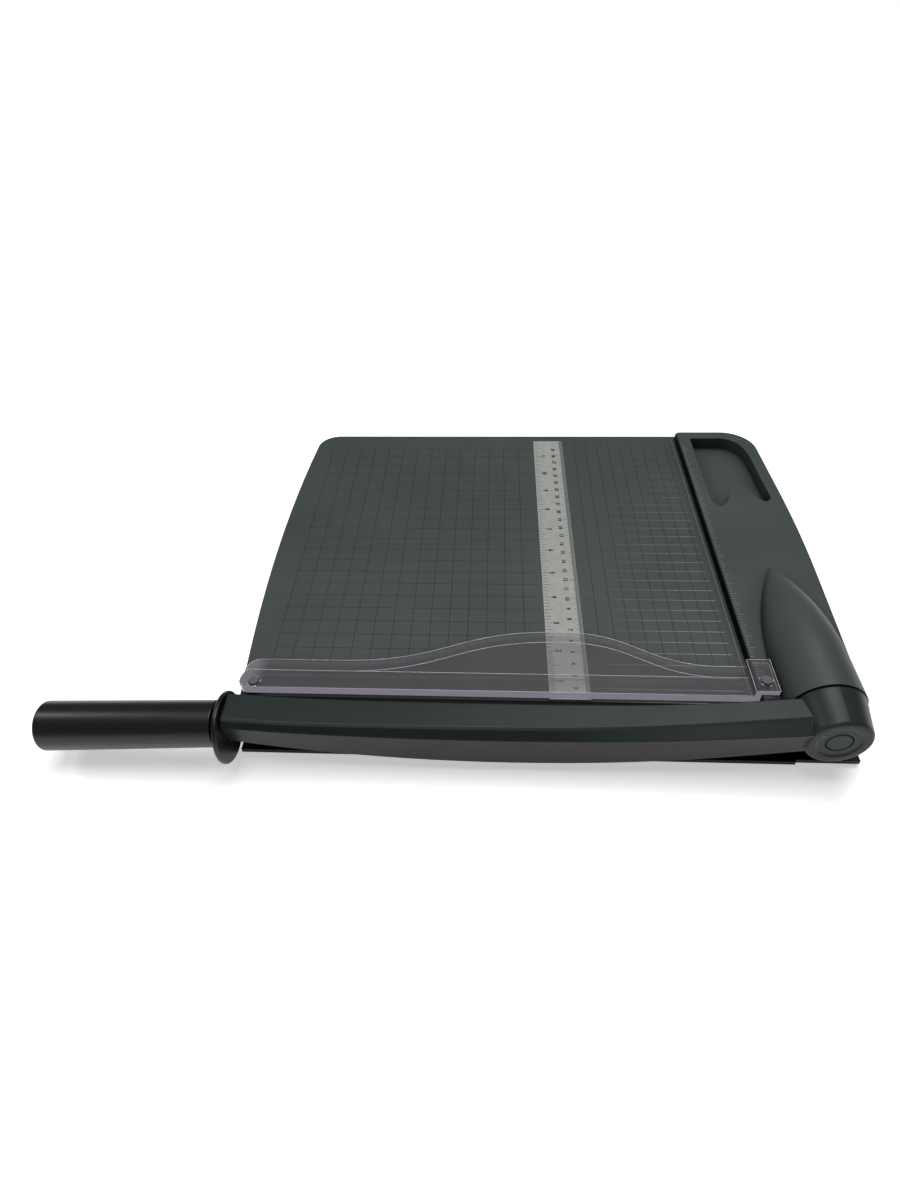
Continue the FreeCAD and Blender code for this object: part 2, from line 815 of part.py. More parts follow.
def ogive_sketch(body, front, radius, straight, length):
    """Half section about the X axis: a straight barrel, then an arc tangent to it."""
    sketch = new_sketch(body, "XZ_Plane")
    swing = ogive_swing(radius, length - straight)
    tip_radius = float(S.housing_tip)
    front, radius, straight, length = map(float, (front, radius, straight, length))
    angle = math.asin((length - straight) / swing) / 2
    rim = Vector(front, radius, 0)
    shoulder = Vector(front - straight, radius, 0)
    middle = shoulder - Vector(swing * math.sin(angle), swing * (1 - math.cos(angle)), 0)
    tip = Vector(front - length, tip_radius, 0)
    sketch.addGeometry(Part.LineSegment(Vector(front, 0, 0), rim))
    sketch.addGeometry(Part.LineSegment(rim, shoulder))
    sketch.addGeometry(Part.Arc(shoulder, middle, tip))
    sketch.addGeometry(Part.LineSegment(tip, Vector(tip.x, 0, 0)))
    sketch.addGeometry(Part.LineSegment(Vector(tip.x, 0, 0), Vector(front, 0, 0)))
    return sketch


def make_housing():
    """Hinge housing: an ogive about the pivot line, cut off level with the ledge."""
    body = new_body("hinge_housing", at_pivot=True)
    front = -S.housing_front
    wall = S.housing_wall
    revolve(body, ogive_sketch(body, front, S.housing_radius, S.housing_barrel,
                               S.housing_length))
    foot = S.ledge_height - S.pivot_above_table
    spare = S.housing_radius
    below = rectangle(-S.housing_length - spare, -spare * 2, spare, spare * 2)
    pocket(body, polygon_sketch(body, "XY_Plane", below, foot), spare * 2)

    hollow = ogive_sketch(body, front - wall, S.housing_radius - wall, S.housing_barrel - wall,
                          S.housing_length - wall * 5)
    groove = body.newObject("PartDesign::Groove", "Groove")
    groove.Profile = hollow
    groove.ReferenceAxis = (hollow, ["H_Axis"])
    groove.Angle = 360
    doc.recompute()

    hole = circle_sketch(body, "YZ_Plane", [
        (Size.of(0), Size.of(0), S.spacer_radius + S.guard_rest_gap)], front)
    pocket(body, hole, wall)

    places = [(x - S.cut_x, Size.of(0)) for x, _ in housing_screw_places()]
    for x, y in places:
        post = circle_sketch(body, "XY_Plane", [(x, y, S.housing_boss_radius)], foot)
        pad(body, post, ogive_height(front - x) - wall / 2 - foot)
    bores = [(x, y, S.small_screw_radius + S.screw_gap) for x, y in places]
    pocket(body, circle_sketch(body, "XY_Plane", bores, foot), S.small_screw_length * 0.7,
           backwards=True)
    return body


def make_ruler():
    body = new_body("ruler_strip")
    corners = rectangle(S.cut_x - S.ruler_end,
                        S.stop_y - S.ruler_from_stop - S.ruler_width,
                        S.cut_x - S.ruler_start, S.stop_y - S.ruler_from_stop)
    pad(body, polygon_sketch(body, "XY_Plane", corners, S.table_z - S.ruler_recess),
        S.ruler_thickness)
    return body


def countersunk_screw(x, y, z, side):
    """Countersunk screw along X, its head flush at x and its shank towards side."""
    axis = Vector(side, 0, 0)
    head_radius = float(S.blade_screw_head)
    shank_radius = float(S.blade_screw_radius)
    head = head_radius - shank_radius
    tip = Vector(float(x), float(y), float(z))
    cone = Part.makeCone(head_radius, shank_radius, head, tip, axis)
    shank = Part.makeCylinder(shank_radius, float(S.blade_screw_length) - head + 0.2,
                              tip + axis * (head - 0.2), axis)
    return cone.fuse(shank).removeSplitter()


def countersinks(body, places, x, wall, backwards):
    """Countersunk holes through a wall, as cones revolved about each screw axis."""
    depth = S.blade_screw_head - S.blade_screw_radius
    side = -1.0 if backwards else 1.0
    for y, z in places:
        sketch = new_sketch(body, "XY_Plane", z)
        draw_polygon(sketch, [
            (x, y),
            (x, y + S.blade_screw_head + S.screw_gap),
            (x + depth * side, y + S.blade_screw_radius + S.screw_gap),
            (x + (wall + 0.5) * side, y + S.blade_screw_radius + S.screw_gap),
            (x + (wall + 0.5) * side, y),
        ])
        axis = sketch.addGeometry(Part.LineSegment(
            Vector(float(x) - 20, float(y), 0), Vector(float(x) + 20, float(y), 0)), True)
        sketch.addConstraint(Sketcher.Constraint("PointOnObject", 0, 1, axis))
        sketch.addConstraint(Sketcher.Constraint("Horizontal", axis))
        groove = body.newObject("PartDesign::Groove", "Countersink")
        groove.Profile = sketch
        groove.ReferenceAxis = (sketch, ["Axis0"])
        groove.Angle = 360
        doc.recompute()


def make_fixed_blade():
    body = new_body("fixed_blade")
    corners = rectangle(S.stop_y - S.fixed_blade_left, S.table_z - S.fixed_blade_height,
                        S.stop_y - S.fixed_blade_right, S.table_z)
    pad(body, polygon_sketch(body, "YZ_Plane", corners, wall_x), S.blade_thickness)
    countersinks(body, fixed_screw_places(), S.cut_x, S.blade_thickness, True)
    screws = [countersunk_screw(S.cut_x, y, z, -1) for y, z in fixed_screw_places()]
    solid_feature("fixed_blade_screws", screws)
    return body


# ---------------------------------------------------------------- pivot

def tube(name, inner, outer, start, length):
    """A plain sleeve or washer about the pivot line."""
    body = new_body(name, at_pivot=True)
    sketch = circle_sketch(body, "YZ_Plane", [(Size.of(0), Size.of(0), outer),
                                              (Size.of(0), Size.of(0), inner)], start)
    pad(body, sketch, length)
    return body


def make_bracket():
    body = new_body("pivot_bracket", at_pivot=True)
    back = -S.blade_thickness - S.shell_wall - S.bracket_thickness
    sketch = new_sketch(body, "YZ_Plane", back)
    half = S.bracket_half_width
    top = S.bracket_top_radius
    draw_polygon(sketch, [(-half, -S.bracket_drop), (half, -S.bracket_drop),
                          (half, Size.of(0)), (top * 0.7, top), (-top * 0.7, top),
                          (-half, Size.of(0))])
    pad(body, sketch, S.bracket_thickness)
    foot = polygon_sketch(body, "XY_Plane", rectangle(
        back - S.bracket_foot, -half, back, half), -S.bracket_drop)
    pad(body, foot, S.bracket_thickness)
    bore = circle_sketch(body, "YZ_Plane", [(Size.of(0), Size.of(0), bearing_radius)],
                         back + S.bracket_thickness)
    pocket(body, bore, S.bracket_thickness)
    screw_holes = [(y - pivot_y, z - pivot_z, S.blade_screw_radius + S.screw_gap)
                   for y, z in bracket_screw_places()]
    pocket(body, circle_sketch(body, "YZ_Plane", screw_holes, back + S.bracket_thickness),
           S.bracket_thickness)
    screws = [countersunk_screw(wall_x, y, z, -1) for y, z in bracket_screw_places()]
    solid_feature("bracket_screws", screws)
    return body


def make_pivot_stack():
    bracket_front = -S.blade_thickness - S.shell_wall
    bracket_back = bracket_front - S.bracket_thickness
    tube("pivot_spacer", bearing_radius, S.spacer_radius, bracket_front,
         S.hub_back - S.axle_head_gap - bracket_front)

    head_x = S.hub_front - S.hub_seat_depth + S.axle_head_gap
    axle = new_body("pivot_axle", at_pivot=True)
    sketch = polygon_sketch(axle, "XZ_Plane", [
        (bracket_back - S.axle_tail, Size.of(0)),
        (bracket_back - S.axle_tail, S.axle_radius),
        (head_x, S.axle_radius),
        (head_x, S.axle_head_radius),
        (head_x + S.axle_head_height, S.axle_head_radius),
        (head_x + S.axle_head_height, Size.of(0)),
    ])
    revolve(axle, sketch)

    stack_end = bracket_back - S.disc_spring_height * S.disc_spring_count
    make_disc_springs(bracket_back)
    tube("axle_washer", bearing_radius, S.washer_radius, stack_end - S.washer_thickness,
         S.washer_thickness)
    nut = new_body("axle_nut", at_pivot=True)
    sketch = new_sketch(nut, "YZ_Plane", stack_end - S.washer_thickness - S.nut_height)
    corner = S.nut_width / math.sqrt(3)
    draw_polygon(sketch, [(corner * math.cos(math.radians(60 * k)),
                           corner * math.sin(math.radians(60 * k))) for k in range(6)])
    draw_circle(sketch, Size.of(0), Size.of(0), bearing_radius)
    pad(nut, sketch, S.nut_height)
    return axle


def make_disc_springs(start):
    """Conical spring washers that pull the two blades together, set face to face."""
    inner = float(bearing_radius) + 0.15
    outer = float(S.disc_spring_radius)
    thick = float(S.disc_spring_thickness)
    rise = float(S.disc_spring_height) - thick
    springs = []
    for k in range(int(float(S.disc_spring_count))):
        first = float(start) - float(S.disc_spring_height) * (k + 1)
        lean = rise if k % 2 else -rise
        shift = 0.0 if lean > 0 else rise
        profile = Part.makePolygon([
            Vector(first + shift, 0, inner), Vector(first + shift + thick, 0, inner),
            Vector(first + shift + lean + thick, 0, outer),
            Vector(first + shift + lean, 0, outer), Vector(first + shift, 0, inner)])
        springs.append(Part.Face(profile).revolve(Vector(0, 0, 0), Vector(1, 0, 0), 360))
    group = solid_feature("disc_springs", springs)
    place(group, S.cut_x, pivot_y, pivot_z)
    return group


# ---------------------------------------------------------------- lever

def make_arm():
    body = new_body("arm_lever", at_pivot=True)
    hub = polygon_sketch(body, "XZ_Plane", [
        (S.hub_back, bushing_radius),
        (S.hub_back, S.hub_back_radius),
        (S.hub_front, S.hub_front_radius),
        (S.hub_front, S.hub_dish_radius),
        (S.hub_front - S.hub_dish_depth, S.hub_dish_radius - S.hub_dish_depth * 2),
        (S.hub_front - S.hub_dish_depth, S.cap_radius + S.cap_gap),
        (S.hub_front - S.hub_seat_depth, S.cap_radius + S.cap_gap),
        (S.hub_front - S.hub_seat_depth, bushing_radius),
    ])
    revolve(body, hub)

    def front_rim(edge):
        return near(edge.Length, 2 * math.pi * float(S.hub_front_radius))
    fillet(body, front_rim, S.hub_round)

    sections = []
    drop = S.pivot_above_table
    for station in ARM_STATIONS:
        where, top, shoulder, ridge, belly = [getattr(S, station + "_" + word)
                                              for word in STATION_WORDS]
        sections.append(polygon_sketch(body, "XZ_Plane", [
            (S.arm_back, top - drop),
            (shoulder - S.arm_edge, top - drop - S.arm_shoulder_drop),
            (shoulder, top - drop - S.arm_shoulder_drop - S.arm_edge * 0.6),
            (S.arm_ridge, ridge - drop),
            (S.arm_toe, belly - drop),
            (S.arm_back, belly - drop),
        ], where))
    loft = body.newObject("PartDesign::AdditiveLoft", "Loft")
    loft.Profile = sections[0]
    loft.Sections = sections[1:]
    doc.recompute()

    tang = circle_sketch(body, "XZ_Plane", [
        (S.grip_axis_out, tang_height(), S.tang_radius + S.tang_gap)], S.grip_end_place)
    bore = pocket(body, tang, S.tang_depth)
    bore.UseCustomVector = True
    bore.Direction = Rotation(Vector(1, 0, 0), float(S.grip_tilt)).multVec(Vector(0, 1, 0))
    places = [(y - pivot_y, z - pivot_z, S.blade_screw_radius + S.screw_gap)
              for y, z in moving_screw_places()]
    pocket(body, circle_sketch(body, "YZ_Plane", places, S.arm_back), S.blade_screw_length,
           backwards=True)
    return body


def tang_height():
    """Height of the grip axis over the pivot where it enters the lever."""
    slope = math.tan(math.radians(float(S.grip_tilt)))
    run = S.grip_start_from_stop + S.pivot_past_stop - S.grip_end_place
    return S.grip_start_above_table - S.pivot_above_table + run * slope


def moving_screw_places():
    middle = S.stop_y - (S.moving_blade_left + S.moving_blade_right) / 2
    height = S.table_z - S.moving_screw_drop
    return [(middle + S.blade_screw_pitch * k, height) for k in (-2, -1, 0, 1, 2)]


def make_moving_blade():
    """Blade on the inner face of the lever, its cutting edge bowed downwards."""
    body = new_body("moving_blade")
    sketch = new_sketch(body, "YZ_Plane", S.cut_x + S.blade_gap)
    left = float(S.stop_y - S.moving_blade_left)
    right = float(S.stop_y - S.moving_blade_right)
    top = float(S.table_z + S.moving_blade_top)
    low_left = Vector(left, float(S.table_z - S.moving_blade_left_sag), 0)
    low_right = Vector(right, float(S.table_z - S.moving_blade_right_sag), 0)
    lowest = Vector((left + right) / 2, float(S.table_z - S.moving_blade_sag), 0)
    sketch.addGeometry(Part.LineSegment(Vector(left, top, 0), Vector(right, top, 0)))
    sketch.addGeometry(Part.LineSegment(Vector(right, top, 0), low_right))
    sketch.addGeometry(Part.Arc(low_right, lowest, low_left))
    sketch.addGeometry(Part.LineSegment(low_left, Vector(left, top, 0)))
    pad(body, sketch, S.arm_back - S.blade_gap)

    def outer_edge(edge):
        lowest = S.table_z - S.moving_blade_sag
        return (all_at(edge, "x", S.cut_x + S.arm_back)
                and near(samples(edge)[1].z, lowest, 0.5))
    chamfer(body, outer_edge, S.blade_bevel)
    face_x = S.cut_x + S.blade_gap
    countersinks(body, moving_screw_places(), face_x, S.blade_thickness, False)
    screws = [countersunk_screw(face_x, y, z, 1) for y, z in moving_screw_places()]
    solid_feature("blade_screws", screws)
    return body


def make_hub_fittings():
    tube("hub_bushing", bearing_radius, bushing_radius, S.hub_back,
         S.hub_front - S.hub_seat_depth - S.hub_back)
    cap = new_body("hub_cap", at_pivot=True)
    front = S.hub_front - S.hub_dish_depth
    back = S.hub_front - S.hub_seat_depth + S.axle_head_gap + S.axle_head_height + S.cap_back_gap
    sketch = circle_sketch(cap, "YZ_Plane", [(Size.of(0), Size.of(0), S.cap_radius)], back)
    pad(cap, sketch, front - back)

    def front_rim(edge):
        return all_at(edge, "x", front)
    fillet(cap, front_rim, S.cap_gap * 2)


def grip_body(name):
    """A body whose own Y axis is the grip axis, pointing back towards the lever."""
    body = new_body(name)
    place(body, S.cut_x + S.grip_axis_out, S.stop_y - S.grip_start_from_stop,
          S.table_z + S.grip_start_above_table)
    body.Placement.Rotation = Rotation(Vector(1, 0, 0), float(S.grip_tilt))
    return body


def make_grip():
    arm_end = S.grip_start_from_stop + S.pivot_past_stop - S.grip_end_place
    neck = arm_end - S.guard_disc_gap
    disc_end = neck - S.guard_disc_thickness

    disc = grip_body("hand_guard")
    sketch = circle_sketch(disc, "XZ_Plane", [
        (Size.of(0), -S.guard_disc_offset, S.guard_disc_radius),
        (Size.of(0), Size.of(0), S.tang_radius + S.tang_gap)], -disc_end)
    pad(disc, sketch, S.guard_disc_thickness - S.tang_gap, backwards=True)

    def rims(edge):
        return near(edge.Length, 2 * math.pi * float(S.guard_disc_radius))
    fillet(disc, rims, S.guard_disc_round)

    core = grip_body("grip_core")
    bury = S.grip_length * 0.9
    profile = polygon_sketch(core, "XY_Plane", [
        (Size.of(0), -bury),
        (S.tang_radius, -bury),
        (S.tang_radius, Size.of(0)),
        (S.neck_radius, Size.of(0)),
        (S.neck_radius, disc_end - S.tang_gap),
        (S.tang_radius, disc_end - S.tang_gap),
        (S.tang_radius, arm_end + S.tang_depth * 0.9),
        (Size.of(0), arm_end + S.tang_depth * 0.9),
    ])
    revolve(core, profile, "V_Axis")

    grip = grip_body("grip")
    hole = S.tang_radius + S.tang_gap
    profile = polygon_sketch(grip, "XY_Plane", [
        (hole, -S.tang_gap),
        (S.grip_inner_radius, -S.tang_gap),
        (S.grip_outer_radius, -S.grip_length),
        (Size.of(0), -S.grip_length),
        (Size.of(0), -bury - S.tang_gap),
        (hole, -bury - S.tang_gap),
    ])
    revolve(grip, profile, "V_Axis")

    def rim(radius):
        return lambda edge: near(edge.Length, 2 * math.pi * float(radius))
    fillet(grip, rim(S.grip_outer_radius), S.grip_end_round)
    fillet(grip, rim(S.grip_inner_radius), S.grip_inner_round)


# ---------------------------------------------------------------- clear guard

def make_clear_guard():
    body = new_body("clear_guard")
    low = S.table_z + S.guard_travel + S.guard_rest_gap
    deck_z = S.table_z + S.deck_above_table
    left = S.stop_y - S.guard_left
    right = S.stop_y - S.guard_right
    lip_x = S.cut_x - S.lip_back
    deck_x = S.cut_x - S.deck_back
    hem_x = S.cut_x - S.hem_back
    wall = S.guard_wall
    hem_z = S.table_z + S.hem_above_table
    deck = polygon_sketch(body, "XZ_Plane", [
        (lip_x, low),
        (lip_x, deck_z),
        (deck_x, deck_z),
        (deck_x - wall, hem_z),
        (deck_x - wall - 1, low),
        (deck_x, low),
        (deck_x + wall * 0.5, deck_z - wall),
        (lip_x - S.lip_wall, deck_z - wall),
        (lip_x - S.lip_wall, low),
    ], -right)
    pad(body, deck, right - left)
    crest_x = S.cut_x - S.wave_back
    hem = new_sketch(body, "XY_Plane", low)
    draw_wave(hem, float(deck_x), float(hem_x), float(crest_x), float(left), float(right))
    pad(body, hem, S.hem_thickness)
    raised = new_sketch(body, "XY_Plane", hem_z)
    border = S.hem_border
    draw_wave(raised, float(deck_x), float(hem_x + border), float(crest_x + border),
              float(left), float(right))
    pad(body, raised, S.hem_rise)
    over_hem = S.deck_above_table - S.hem_above_table - S.hem_rise
    trim_corner(body, hem_x, left, 1, S.ear_round, deck_z, S.deck_above_table)
    trim_corner(body, deck_x - wall, left, 1, S.deck_round, deck_z, over_hem)
    trim_corner(body, lip_x, left, -1, S.ear_front_round, deck_z, S.deck_above_table)

    block_low = ledge_z + S.guard_travel + S.guard_rest_gap
    block_left = S.stop_y - S.block_start
    block = rectangle(S.cut_x - S.block_back, block_left + S.guard_rest_gap,
                      lip_x, S.stop_y + S.block_past_stop)
    pad(body, polygon_sketch(body, "XY_Plane", block, block_low),
        ledge_z + S.block_top_above_ledge - block_low)
    link = rectangle(S.cut_x - S.block_back, right - wall, lip_x,
                     S.stop_y - S.guard_rest_gap * 2)
    pad(body, polygon_sketch(body, "XY_Plane", link, low),
        ledge_z + S.block_top_above_ledge - low)

    for side, (x, y, _) in post_places().items():
        hole = circle_sketch(body, "XY_Plane", [(x, y, S.post_radius + S.post_gap)],
                             ledge_z + S.block_top_above_ledge)
        pocket(body, hole, S.deck_above_table + S.ledge_height)
    return body


def trim_corner(body, x, y, side, radius, top, depth):
    """Rounds an upright corner at the grip end of the guard; side is +1 where +X is inside."""
    sketch = new_sketch(body, "XY_Plane", top)
    reach = float(radius)
    corner = Vector(float(x), float(y), 0)
    along = corner + Vector(reach * side, 0, 0)
    across = corner + Vector(0, reach, 0)
    centre = along + Vector(0, reach, 0)
    middle = centre + Vector(-side, -1, 0).normalize() * reach
    outside = corner - Vector(side, 1, 0)
    sketch.addGeometry(Part.Arc(along, middle, across))
    sketch.addGeometry(Part.LineSegment(across, Vector(outside.x, across.y, 0)))
    sketch.addGeometry(Part.LineSegment(Vector(outside.x, across.y, 0), outside))
    sketch.addGeometry(Part.LineSegment(outside, Vector(along.x, outside.y, 0)))
    sketch.addGeometry(Part.LineSegment(Vector(along.x, outside.y, 0), along))
    pocket(body, sketch, depth)


def draw_wave(sketch, front, back, crest, left, right):
    """Rear flange: straight hem with one long wave, drawn as two S-curves."""
    middle = float(S.stop_y - S.wave_crest)
    wave_left = middle - float(S.wave_left)
    wave_right = middle + float(S.wave_right)

    def s_curve(start, end):
        bend = (end.y - start.y) / 2
        curve = Part.BezierCurve()
        curve.setPoles([start, start + Vector(0, bend, 0), end - Vector(0, bend, 0), end])
        return curve.toBSpline()

    corners = [Vector(front, left, 0), Vector(back, left, 0), Vector(back, wave_left, 0),
               Vector(crest, middle, 0), Vector(back, wave_right, 0),
               Vector(back, right, 0), Vector(front, right, 0)]
    sketch.addGeometry(Part.LineSegment(corners[0], corners[1]))
    sketch.addGeometry(Part.LineSegment(corners[1], corners[2]))
    sketch.addGeometry(s_curve(corners[2], corners[3]))
    sketch.addGeometry(s_curve(corners[3], corners[4]))
    sketch.addGeometry(Part.LineSegment(corners[4], corners[5]))
    sketch.addGeometry(Part.LineSegment(corners[5], corners[6]))
    sketch.addGeometry(Part.LineSegment(corners[6], corners[0]))


def make_posts_and_springs():
    """Shoulder screws that guide the guard and the square-wire springs that lift it."""
    tops = {
        "left": S.table_z + S.deck_above_table,
        "right": ledge_z + S.block_top_above_ledge,
    }
    undersides = {
        "left": tops["left"] - S.guard_wall,
        "right": ledge_z + S.guard_travel + S.guard_rest_gap,
    }
    depths = {"left": S.post_depth - 0.2, "right": S.ledge_height - 0.7}
    seats = {"left": S.spring_seat_depth, "right": S.spring_seat_depth * 2}
    for side, (x, y, z) in post_places().items():
        post = new_body("guard_post_" + side)
        shank = circle_sketch(post, "XY_Plane", [(x, y, S.post_radius)], z - depths[side])
        pad(post, shank, tops[side] + S.post_head_gap - z + depths[side])
        head = circle_sketch(post, "XY_Plane", [(x, y, S.post_head_radius)],
                             tops[side] + S.post_head_gap)
        pad(post, head, S.post_head_height)
        chamfer(post, level_edges(tops[side] + S.post_head_gap + S.post_head_height),
                S.post_head_height / 3)

        start = z - seats[side]
        gap = 0.05
        wire = float(S.spring_wire)
        height = float(undersides[side] - start) - 2 * (wire + gap)
        pitch = height / float(S.spring_turns)
        radius = float(S.spring_radius) - wire
        path = Part.Wire(Part.makeHelix(pitch, height, radius))
        corners = [Vector(radius + wire * across, 0, wire * up)
                   for across, up in ((-1, -1), (1, -1), (1, 1), (-1, 1), (-1, -1))]
        coil = path.makePipeShell([Part.makePolygon(corners)], True, True)
        spring = solid_feature("guard_spring_" + side, [coil])
        place(spring, x, y, start + wire + gap)


# ---------------------------------------------------------------- build and write

def check_and_write():
    doc.recompute()
    pieces = [thing for thing in doc.Objects
              if thing.TypeId in ("PartDesign::Body", "Part::Feature")]
    for thing in doc.Objects:
        if "Invalid" in thing.State or "Error" in thing.State:
            raise RuntimeError("%s has state %s" % (thing.Label, thing.State))
    for piece in pieces:
        if piece.Shape.isNull() or not piece.Shape.isValid():
            raise RuntimeError(piece.Label + " has no valid shape")
    os.makedirs("parts", exist_ok=True)
    for piece in pieces:
        piece.Shape.exportStep(os.path.join("parts", piece.Label + ".step"))
        print("%-20s %d solid(s), %.1f cm3" % (
            piece.Label, len(piece.Shape.Solids), piece.Shape.Volume / 1000))


make_base_shell()
make_bottom_cover()
make_feet()
make_screws()
make_ledge()
make_housing()
make_ruler()
make_fixed_blade()
make_bracket()
make_pivot_stack()
make_arm()
make_moving_blade()
make_hub_fittings()
make_grip()
make_clear_guard()
make_posts_and_springs()
check_and_write()
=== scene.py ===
import json
import math

import bmesh
import bpy
from mathutils import Matrix, Vector
from mathutils.bvhtree import BVHTree


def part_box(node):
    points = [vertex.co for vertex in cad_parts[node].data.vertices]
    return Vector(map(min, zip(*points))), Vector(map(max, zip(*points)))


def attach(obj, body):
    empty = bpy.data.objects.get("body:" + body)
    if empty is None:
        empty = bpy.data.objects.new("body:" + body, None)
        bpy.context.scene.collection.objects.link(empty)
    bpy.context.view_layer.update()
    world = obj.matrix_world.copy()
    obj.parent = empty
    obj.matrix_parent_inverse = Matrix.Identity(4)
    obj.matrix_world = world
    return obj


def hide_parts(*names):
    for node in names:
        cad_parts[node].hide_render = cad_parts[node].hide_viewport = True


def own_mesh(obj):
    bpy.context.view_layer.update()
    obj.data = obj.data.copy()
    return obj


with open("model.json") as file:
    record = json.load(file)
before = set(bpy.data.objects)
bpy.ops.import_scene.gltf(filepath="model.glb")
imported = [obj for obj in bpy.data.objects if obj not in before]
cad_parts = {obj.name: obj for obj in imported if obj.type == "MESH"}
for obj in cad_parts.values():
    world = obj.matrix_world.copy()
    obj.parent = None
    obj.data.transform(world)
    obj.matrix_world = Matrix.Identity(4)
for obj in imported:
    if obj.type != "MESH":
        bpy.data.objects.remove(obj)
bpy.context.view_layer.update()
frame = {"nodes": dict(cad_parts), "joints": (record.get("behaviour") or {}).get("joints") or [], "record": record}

MM = 0.001
INCH = 25.4 * MM
DOWN = Vector((0, 0, -1))
nodes = frame["nodes"]
joints = {joint["name"]: joint for joint in frame["joints"]}
scene = bpy.context.scene


# ---------------------------------------------------------------- reference lines
table_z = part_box("base_shell")[1].z
ledge_low, ledge_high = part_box("head_ledge")
ruler_low, ruler_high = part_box("ruler_strip")
guard_low, guard_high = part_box("clear_guard")
pivot = Vector(joints["arm_pivot"]["pos_m"])
stop_y = ledge_low.y
cut_x = pivot.x
posts = ("guard_post_left", "guard_post_right")


# ---------------------------------------------------------------- materials
def srgb(red, green, blue):
    """8-bit screen colour as linear values."""
    def linear(value):
        value = value / 255
        return value / 12.92 if value <= 0.04045 else ((value + 0.055) / 1.055) ** 2.4
    return (linear(red), linear(green), linear(blue), 1.0)


def grey(value):
    return (value, value, value, 1.0)


def scaled(colour, factor):
    return tuple(channel * factor for channel in colour[:3]) + (1.0,)


class Nodes:
    """Adds and links the shader nodes of one material."""

    def __init__(self, name):
        self.material = bpy.data.materials.new(name)
        self.material.use_nodes = True
        self.tree = self.material.node_tree
        self.shader = self.tree.nodes["Principled BSDF"]
        self.place = self.tree.nodes.new("ShaderNodeTexCoord").outputs["Object"]

    def feed(self, sockets, values):
        """Link each value into its socket if it is another node's output, or set it there."""
        for name, value in values.items():
            if isinstance(value, bpy.types.NodeSocket):
                self.tree.links.new(value, sockets[name])
            else:
                sockets[name].default_value = value

    def add(self, kind, inputs, **settings):
        node = self.tree.nodes.new(kind)
        for name, value in settings.items():
            setattr(node, name, value)
        self.feed(node.inputs, inputs)
        return node

    def surface(self, values):
        """Feed the inputs of the surface shader."""
        self.feed(self.shader.inputs, values)

    def split(self, vector):
        """X, Y and Z of a vector."""
        return self.add("ShaderNodeSeparateXYZ", {"Vector": vector}).outputs

    def facing(self):
        """X, Y and Z of the direction that the face itself points in."""
        return self.split(self.add("ShaderNodeNewGeometry", {}).outputs["True Normal"])

    def noise(self, scale, detail, stretch=(1, 1, 1)):
        mapping = self.add("ShaderNodeMapping", {"Vector": self.place, "Scale": stretch})
        return self.add("ShaderNodeTexNoise", {"Vector": mapping.outputs["Vector"],
                                               "Scale": scale, "Detail": detail}).outputs["Fac"]

    def ramp(self, source, stops):
        """Colour between stops of (position, colour)."""
        node = self.add("ShaderNodeValToRGB", {"Fac": source})
        elements = node.color_ramp.elements
        while len(elements) < len(stops):
            elements.new(0.5)
        for element, (position, colour) in zip(elements, stops):
            element.position = position
            element.color = colour
        return node.outputs["Color"]

    def spread(self, source, low, high):
        """A share of 0 to 1 spread between low and high."""
        return self.add("ShaderNodeMapRange", {"Value": source, "To Min": low,
                                               "To Max": high}).outputs["Result"]

    def share(self, source, start, end):
        """How far a value has come from start to end, as a share of 0 to 1."""
        return self.add("ShaderNodeMapRange", {"Value": source, "From Min": start,
                                               "From Max": end}).outputs["Result"]

    def combine(self, operation, *terms):
        return self.add("ShaderNodeMath", dict(enumerate(terms)),
                        operation=operation).outputs["Value"]

    def multiply(self, colour, other, factor=1.0):
        """The colour multiplied by another, as fully as factor says."""
        node = self.add("ShaderNodeMix", {"Factor": factor, "A": colour, "B": other},
                        data_type="RGBA", blend_type="MULTIPLY")
        return node.outputs["Result"]

    def bump(self, height, strength, distance, edge=0.0):
        """Bump normal, over corners rounded by edge where it is given."""
        node = self.add("ShaderNodeBump", {"Height": height, "Strength": strength,
                                           "Distance": distance})
        if edge:
            corner = self.add("ShaderNodeBevel", {"Radius": edge}, samples=6)
            self.feed(node.inputs, {"Normal": corner.outputs["Normal"]})
        return node.outputs["Normal"]

    def side_tint(self, colour, tint, until_y):
        """Painted shade: the colour multiplied by tint where the face stands upright, short of until_y, so that
        upright faces read as less lit.
        """
        upright = self.share(self.combine("ABSOLUTE", self.facing()["Z"]), 0.8, 0.5)
        short = self.share(self.split(self.place)["Y"], until_y, until_y - 4 * MM)
        return self.multiply(colour, tint, self.combine("MULTIPLY", upright, short))

    def grime(self, colour, depth, reach):
        """Painted shade: the colour darkened by depth in corners and hollows about as wide as reach."""
        hollow = self.add("ShaderNodeAmbientOcclusion", {"Distance": reach}, samples=8)
        return self.multiply(colour, self.spread(hollow.outputs["AO"], 1 - depth, 1.0))


# Noise scales in cycles per metre.
DRIFT_NOISE = 14.0
BLOTCH_NOISE = 60.0
STEEL_NOISE = 700.0
HAZE_NOISE = 35.0
PATCH_NOISE = 120.0
FLOOR_NOISE = 3.0

SPECK_SHARE = 0.25
GRAIN_STRENGTH = 0.35
STEEL_STRENGTH = 0.15
LIT_BEFORE_STOP = (95 * MM, 20 * MM)
LIT_X = (-160 * MM, 90 * MM)


